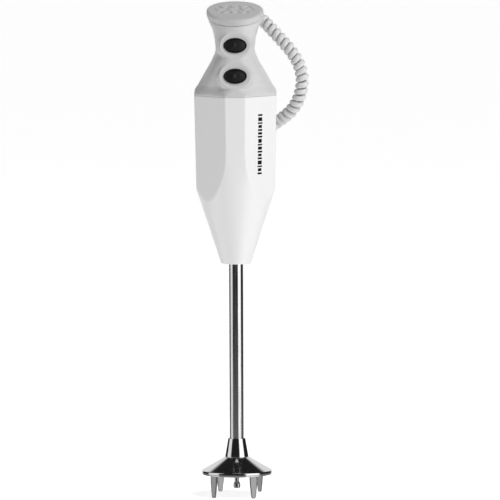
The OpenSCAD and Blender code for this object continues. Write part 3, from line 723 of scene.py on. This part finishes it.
BUTTON_EDGE = 0.9 * MM
BUTTON_PROUD = 0.15 * MM
BUTTON_CROWN = 0.75 * MM
BUTTON_ROOT = -6.9 * MM
BEZEL_LOW = -3 * MM
BEZEL_TOP = -0.05 * MM
BEZEL_ROUND = 0.35 * MM
BAR_PITCH = 1.5 * MM
BAR_W = 0.28 * MM
BAR_L = 1.5 * MM


def oval_loft(name, h, rows, material, body, loop=False):
    """Ovals, each (half width, half height, out of the panel); loop joins the last to the first."""
    sides = 96
    points = [panel_point(h, a * x, b * y, w) for a, b, w in rows for x, y in circle(1, sides)]
    faces = ring_faces(len(rows), sides, loop) + ([] if loop else end_faces(len(rows), sides))
    return add_mesh(name, points, faces, material, body)


def add_button(key, bars):
    """An oval key with a rounded edge and a low crown, its strokes, and the thin frame round it."""
    h = BUTTON_H[key]
    a, b = BUTTON_W / 2, BUTTON_L / 2
    flat_a, flat_b = a - BUTTON_EDGE, b - BUTTON_EDGE
    rows = [(a * 0.9, b * 0.9, BUTTON_ROOT), (a, b, BUTTON_ROOT), (a, b, BUTTON_PROUD - BUTTON_EDGE)]
    for k in range(1, 7):
        t = math.pi / 2 * k / 6
        out = BUTTON_EDGE * math.cos(t)
        rows.append((flat_a + out, flat_b + out, BUTTON_PROUD - BUTTON_EDGE * (1 - math.sin(t))))
    for k in range(1, 16):
        f = 1 - k / 16
        rows.append((flat_a * f, flat_b * f, BUTTON_PROUD + BUTTON_CROWN * (1 - f * f)))
    cap = oval_loft(key + "_button_cap", h, rows, "black_rubber", key + "_key")
    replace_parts(cap, key + "_button")
    for k in range(bars):
        shift = (k - (bars - 1) / 2) * BAR_PITCH
        add_bar(key + "_button_bar_%d" % (k + 1), h, shift, key + "_key")
    section = rounded([(0, BEZEL_LOW), (BEZEL, BEZEL_LOW), (BEZEL, BEZEL_TOP), (0, BEZEL_TOP)],
                      [0, 0, BEZEL_ROUND, BEZEL_ROUND])
    rows = [(a + BUTTON_GAP + d, b + BUTTON_GAP + d, w) for d, w in section]
    bezel = oval_loft(key + "_bezel_ring", h, rows, "black_gloss", "casing", True)
    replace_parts(bezel, key + "_bezel")


def add_bar(name, h, shift, body):
    """A small raised stroke in the middle of a button."""
    low, high = 0.75 * MM, 1.0 * MM
    rows = ((low, 1), (high - 0.08 * MM, 1), (high, 0.8))
    outline = rounded([(-BAR_W, -BAR_L), (BAR_W, -BAR_L), (BAR_W, BAR_L), (-BAR_W, BAR_L)], 0.25 * MM)
    points = [panel_point(h, shift + u * f, v * f, w) for w, f in rows for u, v in outline]
    faces = ring_faces(len(rows), len(outline)) + end_faces(len(rows), len(outline))
    add_mesh(name, points, faces, "black_rubber", body, MARK_RUBBER)


# ---------------------------------------------------------------- guard and shaft

RIM_R = 28.4 * MM
PRONG_H = 17.2 * MM
RIM_Z = PRONG_H + 3 * MM
HUB_Z = RIM_Z + 10.9 * MM
HUB_TOP = HUB_Z + 15.1 * MM
HUB_LOW = HUB_Z - 10 * MM
HUB_STEP = HUB_LOW + 11.4 * MM
HUB_TOP_R = 6.9 * MM
HUB_FOOT_R = 9.5 * MM
HUB_BOSS_R = 6 * MM
HUB_BORE_R = 4.03 * MM
SLIP = 0.03 * MM
SHEET = 1.2 * MM
TUBE_WALL = 0.9 * MM
PRONG_ANGLES = [-131.5, -61.3, 48.5, 118.7]
PRONG_W = 6.8 * MM
PRONG_SET = 0.15 * MM
PRONG_TIP = 1.7 * MM


def add_guard():
    """The pressed dish with its four prongs, the turned hub above it, and the shaft tube."""
    lean = SHEET * 1.14
    hole = HUB_BOSS_R + SLIP
    dish = lathe("guard_dish_skin", rounded([
        (RIM_R, PRONG_H), (RIM_R, RIM_Z), (HUB_FOOT_R, HUB_Z), (hole, HUB_Z), (hole, HUB_Z - SHEET),
        (HUB_FOOT_R, HUB_Z - lean), (RIM_R - SHEET, RIM_Z - lean), (RIM_R - SHEET, PRONG_H)],
        [0.4 * MM, 0.6 * MM, 0.8 * MM, 0, 0, 0.5 * MM, 0.5 * MM, 0.4 * MM]), 256, "polished_steel")
    prongs = [add_prong("guard_prong_%d" % (k + 1), math.radians(a)) for k, a in enumerate(PRONG_ANGLES)]
    for piece in [dish] + prongs:
        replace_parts(piece, "guard_dish")
    hub = lathe("guard_hub_skin", rounded([
        (TUBE_R + SLIP, HUB_STEP), (TUBE_R + SLIP, HUB_TOP - 0.5 * MM), (HUB_TOP_R, HUB_TOP),
        (HUB_FOOT_R, HUB_Z + 0.35 * MM), (HUB_FOOT_R - 0.15 * MM, HUB_Z), (HUB_BOSS_R, HUB_Z),
        (HUB_BOSS_R, HUB_LOW), (HUB_BORE_R, HUB_LOW), (HUB_BORE_R, HUB_STEP)],
        [0, 0.3 * MM, 0.5 * MM, 0.2 * MM, 0, 0, 0.4 * MM, 0, 0]), 128, "polished_steel")
    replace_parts(hub, "guard_hub")
    low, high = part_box("shaft_tube")[0][2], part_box("shaft_tube")[1][2]
    inner = TUBE_R - TUBE_WALL
    skin = lathe("shaft_tube_skin", [(TUBE_R, low), (TUBE_R, high), (inner, high), (inner, low)], 128,
                 "polished_steel")
    crisp(skin)
    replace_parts(skin, "shaft_tube")


def add_prong(name, angle):
    """A curved strip of sheet that hangs from the rim and narrows to a rounded tip."""
    half = SHEET / 2
    middle = RIM_R - PRONG_SET - half
    zs = [0, 0.05, 0.2, 0.5, 0.9, 1.5, 2.3, 3.4, 4.9, 7, 10, 13, 15, 18]
    section = rounded([(1, -1), (1, 1), (-1, 1), (-1, -1)], 0.5, 4)
    points = []
    for z in zs:
        z = z * MM
        wide = blend_to(1.75 * MM, PRONG_W / 2, smooth_step(0, 1, (z + 2 * MM) / (PRONG_H - MM)))
        if z < PRONG_TIP:
            wide *= 0.5 + 0.5 * math.sqrt(max(0, 1 - (1 - z / PRONG_TIP) ** 2))
        thick = half * (0.7 + 0.3 * min(1, z / (0.5 * MM)))
        for u, v in section:
            around = angle + u * wide / middle
            r = middle + v * thick
            points.append((r * math.cos(around), r * math.sin(around), z))
    faces = ring_faces(len(zs), len(section)) + end_faces(len(zs), len(section))
    # The prongs get the darker copy of the dish's steel, which is painted shade
    prong = add_mesh(name, points, faces, "polished_steel", look=SHADED_PRONG_STEEL)
    crisp(prong, 50)
    return prong


def add_drive_end():
    """The shaft with its ball-ended stub and grooved neck, and the collar above it."""
    low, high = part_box("drive_shaft")[0][2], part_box("drive_shaft")[1][2]
    r, ball, neck, edge, middle = 2 * MM, 2.8 * MM, 1.9 * MM, 0.8 * MM, 0.01 * MM
    profile = [(middle, low)]
    profile += [(ball - edge * (1 - math.sin(a)), low + edge * (1 - math.cos(a)))
                for a in [math.pi / 2 * k / 6 for k in range(7)]]
    profile += [(ball, low + 3.2 * MM), (ball - 0.12 * MM, low + 3.8 * MM), (neck + 0.3 * MM, low + 4.6 * MM),
                (neck, low + 5.2 * MM), (neck, low + 9 * MM), (r, low + 9.4 * MM), (r, high), (middle, high)]
    stub = lathe("drive_shaft_skin", profile, 64, "shaft_steel", "drive_train", False)
    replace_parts(stub, "drive_shaft")
    foot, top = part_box("thrust_collar")[0][2], HUB_LOW - 0.4 * MM
    collar = lathe("thrust_collar_skin", rounded([
        (r, foot), (2.3 * MM, foot), (3.1 * MM, foot + 1.6 * MM), (3.3 * MM, top), (r, top)],
        [0, 0.3 * MM, 0.5 * MM, 0.3 * MM, 0]), 64, "shaft_steel", "drive_train")
    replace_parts(collar, "thrust_collar")


# ---------------------------------------------------------------- printed mark

PRINT_LOW = 259 * MM
PRINT_HIGH = 307.5 * MM
PRINT_X = -6 * MM  # from the middle of the facet
PRINT_GAP = 0.9 * MM
PRINT_TALL = (1.5, 2.4, 1.2, 3.2, 1.5, 2.0)
PRINT_WIDE = (2.7, 2.2, 2.9, 2.5)


def add_print():
    """A plain column of bars on the right front facet, in place of printing."""
    normal = Vector((math.sin(FACET_TURN), -math.cos(FACET_TURN), 0))
    along = Vector((math.cos(FACET_TURN), math.sin(FACET_TURN), 0))
    up = Vector((0, 0, 1))
    points, faces = [], []
    z, k = PRINT_LOW, 0
    while z < PRINT_HIGH:
        tall = PRINT_TALL[k % len(PRINT_TALL)] * MM
        wide = PRINT_WIDE[k % len(PRINT_WIDE)] * MM
        away = big_facet(BODY_A, BODY_B) - (SEAM - z - tall / 2) * DRAFT
        outline = rounded([(-wide, 0), (wide, 0), (wide, tall), (-wide, tall)], 0.35 * MM, 3)
        start, sides = len(points), len(outline)
        for lift in (-0.3 * MM, 0.03 * MM):
            points += [normal * (away + lift) + along * (PRINT_X + u) + up * (z + v) for u, v in outline]
        faces += [tuple(start + i for i in f) for f in ring_faces(2, sides) + end_faces(2, sides)]
        z += tall + PRINT_GAP
        k += 1
    crisp(add_mesh("printed_bars", points, faces, "black_gloss"), 30)


# ---------------------------------------------------------------- strain relief, tie and plug

PLUG_HALF = 17.5 * MM
PLUG_R = 6.85 * MM
PLUG_EDGE = 0.9 * MM
PLUG_BACK = 3.5 * MM
PLUG_WAIST = 1.1 * MM
PLUG_GROOVE = 0.35 * MM
PIN_X = 9.5 * MM
PIN_ROOT_R = 2.8 * MM
PIN_ROOT_L = 9.9 * MM
TIE_LOW = SEAM - 80 * MM
TIE_HIGH = SEAM - 70 * MM

# along the strain relief, from the shaft's axis: its inner end, its flange's end, where its ribs begin, and
# where it begins to narrow
RELIEF_IN = 12.9 * MM
RELIEF_STEP = 14.4 * MM
RIBS_IN = 19 * MM
RELIEF_TAPER = 22 * MM

RIBS = 5
RIB_DEEP = 0.75 * MM


def stadium(half, radius, steps=16):
    """A flat oval outline: two half circles, whose centres are half to either side of the middle."""
    ring = []
    for centre, first in ((half, -0.5), (-half, 0.5)):
        for k in range(steps + 1):
            turn = math.pi * (first + k / steps)
            ring.append((centre + radius * math.cos(turn), radius * math.sin(turn)))
    return ring


def stadium_loft(name, rows, half, middle_y, material, loop=False):
    """Flat ovals one above another, from (radius, height) rows; loop joins the last to the first."""
    points = [(x, middle_y + y, z) for radius, z in rows for x, y in stadium(half, radius)]
    sides = len(points) // len(rows)
    faces = ring_faces(len(rows), sides, loop) + ([] if loop else end_faces(len(rows), sides))
    return add_mesh(name, points, faces, material)


def arc_rows(radius, z, edge, up, steps=6):
    """Rows that round an edge of an oval piece over, outwards from its end face, or inwards to it."""
    rows = []
    for k in range(steps + 1):
        turn = math.pi / 2 * k / steps
        rows.append((radius - edge + edge * math.sin(turn), z + up * edge * (1 - math.cos(turn))))
    return rows if up > 0 else rows[::-1]


def add_plug():
    """A flat two-pin plug with a waisted, grooved grip and a rounded back."""
    low = PLUG_TOP - PLUG_H
    rows = arc_rows(PLUG_R, low, PLUG_EDGE, 1)
    for k in range(1, 25):
        t = k / 25
        waist = PLUG_WAIST * math.sin(math.pi * t) ** 2
        groove = PLUG_GROOVE * max(0, math.sin(12 * math.pi * t)) if 0.3 < t < 0.75 else 0
        rows.append((PLUG_R - waist - groove, low + PLUG_EDGE + t * (PLUG_H - PLUG_EDGE - PLUG_BACK)))
    rows += arc_rows(PLUG_R, PLUG_TOP, PLUG_BACK, -1)
    plug = stadium_loft("plug_grip", rows, PLUG_HALF - PLUG_R, PLUG_Y, "plug_plastic")
    holes = []
    for side in (-1, 1):
        sides = 48
        points = [(side * PIN_X + x, PLUG_Y + y, z)
                  for z in (low - MM, low + PIN_ROOT_L) for x, y in circle(PIN_ROOT_R, sides)]
        holes.append(linked("pin_hole", points, ring_faces(2, sides) + end_faces(2, sides)))
    cut(plug, holes)
    crisp(plug, 40)
    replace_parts(plug, "plug_body")
    return plug


def add_tie():
    """The woven strap round both runs of the hank."""
    inner, outer, edge = CURL_R + 0.3 * MM, CURL_R + 1.4 * MM, 0.4 * MM
    rows = [(inner, TIE_LOW), (outer - edge, TIE_LOW), (outer, TIE_LOW + edge), (outer, TIE_HIGH - edge),
            (outer - edge, TIE_HIGH), (inner, TIE_HIGH)]
    tie = stadium_loft("cord_strap", rows[::-1], RUN_X, HANK_Y, "tie_fabric", True)
    crisp(tie, 40)
    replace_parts(tie, "cord_tie")
    return tie


def add_relief():
    """The ribbed sleeve that the lead leaves the head through."""
    flange, body, tip, hole = 6 * MM, 4.5 * MM, LEAD_R + 0.9 * MM, 0.2 * MM
    rows = [(hole, RELIEF_IN), (flange, RELIEF_IN), (flange, RELIEF_STEP), (body, RELIEF_STEP),
            (body, RIBS_IN)]
    count, sides = 60, 64
    for k in range(1, count):
        y = blend_to(RIBS_IN, RELIEF_OUT, k / count)
        full = blend_to(body, tip, max(0, (y - RELIEF_TAPER) / (RELIEF_OUT - RELIEF_TAPER)))
        wave = max(0, math.sin(2 * math.pi * RIBS * k / count)) ** 0.6
        rows.append((full - RIB_DEEP * wave, y))
    rows += [(tip - 0.4 * MM, RELIEF_OUT), (hole, RELIEF_OUT)]
    points = [(x, y, RELIEF_Z - z) for r, y in rows for x, z in circle(r, sides)]
    relief = add_mesh("ribbed_sleeve", points, ring_faces(len(rows), sides, True), "cord_plastic")
    crisp(relief, 50)
    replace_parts(relief, "strain_relief")
    return relief


# ---------------------------------------------------------------- every piece, made in turn

cord, cord_path, cord_length = add_cord()
add_relief()
add_tie()
add_plug()
add_body_shell()
add_head_shell()
add_cap()
add_button("upper", 1)
add_button("lower", 2)
add_guard()
add_drive_end()
add_print()

# ---------------------------------------------------------------- studio

FLOOR = Look("floor", (0.93, 0.93, 0.93), 0.9)
FLOOR.tint(FLOOR.noise(3), (0.92, 0.92, 0.92))
FLOOR.bsdf.inputs["Emission Color"].default_value = (1, 1, 1, 1)
FLOOR.bsdf.inputs["Emission Strength"].default_value = 0.7

# Bands of studio light, in degrees: where each starts and ends, turning from the front to the right; where it
# starts and ends in height; how soft it is in height. Then its strength.
SIDE_SOFT = 4
BANDS = [(30, 79, -6.8, 62, 0.5, 1.3), (-104, -61, -6.8, 62, 0.5, 0.85), (150, 215, -40, 38, 6, 0.8),
         (-120, 240, -95, -5.9, 0.2, 0.09), (-120, 240, -95, -6.75, 0.3, 0.12),
         (30, 79, -70, -9, 1, 0.7), (-104, -61, -70, -9, 1, 0.5)]
DIM = 0.015
FLOOR_HALF = 14
KEY_SIZE = 0.9
KEY_WATTS = 19
KEY_PLACE = Vector((0.9, -0.63, 1.72))
KEY_AIM = Vector((0, 0, 0.3))


def studio_world():
    """Soft boxes on both sides and behind, drawn on the sky; the camera itself sees plain white."""
    world = bpy.data.worlds.new("world")
    world.use_nodes = True
    tree = world.node_tree
    back = tree.nodes["Background"]

    def made(kind, *links, **values):
        node = tree.nodes.new(kind)
        for key, value in values.items():
            setattr(node, key, value)
        for i, link in enumerate(links):
            if isinstance(link, (int, float)):
                node.inputs[i].default_value = link
            elif link is not None:
                tree.links.new(link, node.inputs[i])
        return node.outputs[0]

    def math_node(operation, *links):
        return made("ShaderNodeMath", *links, operation=operation)

    def ramp(value, edge, soft, start, end):
        return made("ShaderNodeMapRange", value, edge - soft, edge + soft, start, end,
                    interpolation_type="SMOOTHSTEP")

    def inside(value, low, high, soft):
        return math_node("MULTIPLY", ramp(value, low, soft, 0.0, 1.0), ramp(value, high, soft, 1.0, 0.0))

    way = tree.nodes.new("ShaderNodeTexCoord").outputs["Generated"]
    split = tree.nodes.new("ShaderNodeSeparateXYZ")
    tree.links.new(way, split.inputs[0])
    x, y, z = split.outputs
    front = math_node("MULTIPLY", y, -1.0)
    turn = math_node("MULTIPLY", math_node("ARCTAN2", x, front), 180 / math.pi)
    around = math_node("ADD", turn, math_node("MULTIPLY", math_node("LESS_THAN", turn, -120.0), 360.0))
    lift = math_node("MULTIPLY", math_node("ARCSINE", z), 180 / math.pi)
    total = DIM
    for low, high, under, over, soft, strength in BANDS:
        area = math_node("MULTIPLY", inside(around, low, high, SIDE_SOFT), inside(lift, under, over, soft))
        total = math_node("ADD", total, math_node("MULTIPLY", area, strength))
    seen = tree.nodes.new("ShaderNodeLightPath").outputs["Is Camera Ray"]
    tree.links.new(made("ShaderNodeMix", seen, None, total, 1.0), back.inputs["Strength"])
    back.inputs["Color"].default_value = (1, 1, 1, 1)
    scene.world = world


def add_key_lamp():
    """A square soft box above on the right, which brightens the plastics and isn't mirrored by the steel."""
    data = bpy.data.lights.new("key", "AREA")
    data.shape = "SQUARE"
    data.size = KEY_SIZE
    data.energy = KEY_WATTS
    lamp = bpy.data.objects.new("key", data)
    scene.collection.objects.link(lamp)
    lamp.location = KEY_PLACE
    lamp.visible_glossy = False
    lamp.rotation_euler = (KEY_AIM - KEY_PLACE).to_track_quat("-Z", "Y").to_euler()


def add_studio():
    points = [(-FLOOR_HALF, -FLOOR_HALF, 0), (FLOOR_HALF, -FLOOR_HALF, 0), (FLOOR_HALF, FLOOR_HALF, 0),
              (-FLOOR_HALF, FLOOR_HALF, 0)]
    floor = linked("floor", points, [(0, 1, 2, 3)])
    floor.data.materials.append(FLOOR.mat)
    floor.visible_glossy = False
    studio_world()
    scene.view_settings.view_transform = "Standard"
    add_key_lamp()


add_studio()
